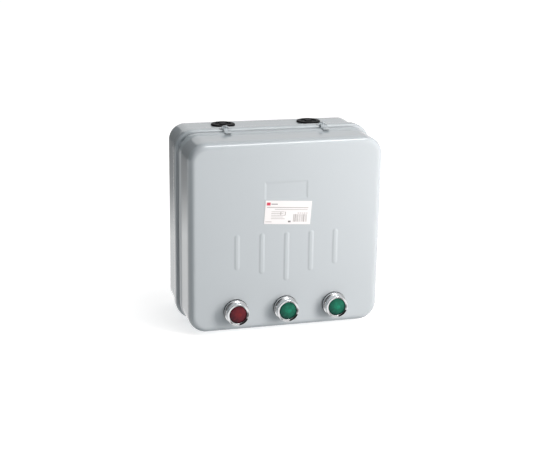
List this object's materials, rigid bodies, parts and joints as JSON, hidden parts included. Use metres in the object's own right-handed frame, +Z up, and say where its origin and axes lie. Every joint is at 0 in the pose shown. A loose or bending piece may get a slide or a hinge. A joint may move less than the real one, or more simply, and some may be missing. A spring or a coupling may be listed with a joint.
{
  "type": "magnetic motor starter",
  "caption": "Reversing motor starter: a rounded steel enclosure with a hinged cover, red and green push buttons, contactors and an overload relay inside.",
  "frame": {"origin": "centre of the flat back face, where the enclosure meets the wall", "axes": "+X right, +Y back into the wall, +Z up; the cover faces -Y"},
  "size_m": [0.242, 0.1432, 0.2416],
  "materials": {
    "grey_enamel": "smooth light grey stove enamel, semi-gloss",
    "black_rubber": "matt black",
    "zinc_steel": "bright zinc plate",
    "label_paper": "white printed sticker, satin",
    "brass": "plain brass",
    "chrome": "polished chrome plate",
    "red_lens": "translucent dark red, glossy",
    "green_lens": "translucent deep green, glossy",
    "dark_plastic": "black moulding, fine grain",
    "light_plastic": "pale grey moulding, fine grain",
    "laminated_iron": "stacked laminations, oiled",
    "copper_winding": "enamelled copper wire",
    "blue_plastic": "blue moulding",
    "red_plastic": "red moulding"
  },
  "bodies": {
    "base": {"base_shell": "grey_enamel", "closing_bracket": "zinc_steel", "earth_stud": "brass", "entry_grommet_bottom_left": "black_rubber", "entry_grommet_bottom_right": "black_rubber", "entry_grommet_top_left": "black_rubber", "entry_grommet_top_right": "black_rubber", "forward_coil": "copper_winding", "forward_lower_housing": "dark_plastic", "forward_magnet_core": "laminated_iron", "forward_return_spring": "zinc_steel", "forward_upper_housing": "light_plastic", "hinge_staple_left": "grey_enamel", "hinge_staple_right": "grey_enamel", "interlock_housing": "light_plastic", "line_link_block": "dark_plastic", "load_link_block": "dark_plastic", "mounting_plate": "zinc_steel", "overload_bimetal_1": "brass", "overload_bimetal_2": "brass", "overload_bimetal_3": "brass", "overload_housing": "light_plastic", "reverse_coil": "copper_winding", "reverse_lower_housing": "dark_plastic", "reverse_magnet_core": "laminated_iron", "reverse_return_spring": "zinc_steel", "reverse_upper_housing": "light_plastic"},
    "cover": {"cover_gasket": "black_rubber", "cover_shell": "grey_enamel", "forward_button_bezel": "chrome", "forward_button_gasket": "black_rubber", "forward_button_nut": "dark_plastic", "forward_contact_block": "light_plastic", "hinge_hook_left": "grey_enamel", "hinge_hook_right": "grey_enamel", "rating_label": "label_paper", "reverse_button_bezel": "chrome", "reverse_button_gasket": "black_rubber", "reverse_button_nut": "dark_plastic", "reverse_contact_block": "light_plastic", "stop_button_bezel": "chrome", "stop_button_gasket": "black_rubber", "stop_button_nut": "dark_plastic", "stop_contact_block": "light_plastic"},
    "cover_screw_left": {"cover_screw_left": "zinc_steel"},
    "cover_screw_right": {"cover_screw_right": "zinc_steel"},
    "stop_button": {"stop_button_lens": "red_lens"},
    "forward_button": {"forward_button_lens": "green_lens"},
    "reverse_button": {"reverse_button_lens": "green_lens"},
    "forward_armature": {"forward_armature": "laminated_iron", "forward_contact_carrier": "dark_plastic"},
    "reverse_armature": {"reverse_armature": "laminated_iron", "reverse_contact_carrier": "dark_plastic"},
    "interlock": {"interlock_shuttle": "dark_plastic"},
    "overload_dial": {"overload_dial": "light_plastic"},
    "overload_reset": {"overload_reset_button": "blue_plastic"},
    "overload_test": {"overload_test_button": "red_plastic"},
    "overload_trip": {"overload_trip_slider": "dark_plastic"}
  },
  "joints": [
    {"name": "cover_hinge", "type": "hinge", "parent": "base", "child": "cover", "pos_m": [0, -0.0655, 0.12045], "axis": [-1, 0, 0], "range_deg": [0, 105]},
    {"name": "cover_screw_left_turn", "type": "hinge", "parent": "cover", "child": "cover_screw_left", "pos_m": [-0.09, -0.075, -0.1], "axis": [0, 0, 1], "continuous": true},
    {"name": "cover_screw_right_turn", "type": "hinge", "parent": "cover", "child": "cover_screw_right", "pos_m": [0.09, -0.075, -0.1], "axis": [0, 0, 1], "continuous": true},
    {"name": "stop_button_press", "type": "slide", "parent": "cover", "child": "stop_button", "axis": [0, 1, 0], "range_m": [0, 0.0035], "stiffness_N_per_m": 900, "springref_m": -0.004},
    {"name": "forward_button_press", "type": "slide", "parent": "cover", "child": "forward_button", "axis": [0, 1, 0], "range_m": [0, 0.0035], "stiffness_N_per_m": 900, "springref_m": -0.004},
    {"name": "reverse_button_press", "type": "slide", "parent": "cover", "child": "reverse_button", "axis": [0, 1, 0], "range_m": [0, 0.0035], "stiffness_N_per_m": 900, "springref_m": -0.004},
    {"name": "forward_armature_pull", "type": "slide", "parent": "base", "child": "forward_armature", "axis": [0, 1, 0], "range_m": [0, 0.005], "stiffness_N_per_m": 1200, "springref_m": -0.004, "deforming": ["forward_return_spring"]},
    {"name": "reverse_armature_pull", "type": "slide", "parent": "base", "child": "reverse_armature", "axis": [0, 1, 0], "range_m": [0, 0.005], "stiffness_N_per_m": 1200, "springref_m": -0.004, "deforming": ["reverse_return_spring"]},
    {"name": "interlock_shift", "type": "slide", "parent": "base", "child": "interlock", "axis": [1, 0, 0], "range_m": [-0.0015, 0.0015], "stiffness_N_per_m": 60},
    {"name": "overload_dial_turn", "type": "hinge", "parent": "base", "child": "overload_dial", "pos_m": [-0.038, -0.088, -0.021], "axis": [0, 1, 0], "range_deg": [-135, 135]},
    {"name": "overload_reset_press", "type": "slide", "parent": "base", "child": "overload_reset", "axis": [0, 1, 0], "range_m": [0, 0.0025], "stiffness_N_per_m": 800, "springref_m": -0.003},
    {"name": "overload_test_press", "type": "slide", "parent": "base", "child": "overload_test", "axis": [0, 1, 0], "range_m": [0, 0.002], "stiffness_N_per_m": 800, "springref_m": -0.003},
    {"name": "overload_trip_slide", "type": "slide", "parent": "base", "child": "overload_trip", "axis": [1, 0, 0], "range_m": [0, 0.002], "stiffness_N_per_m": 400, "springref_m": -0.001}
  ]
}
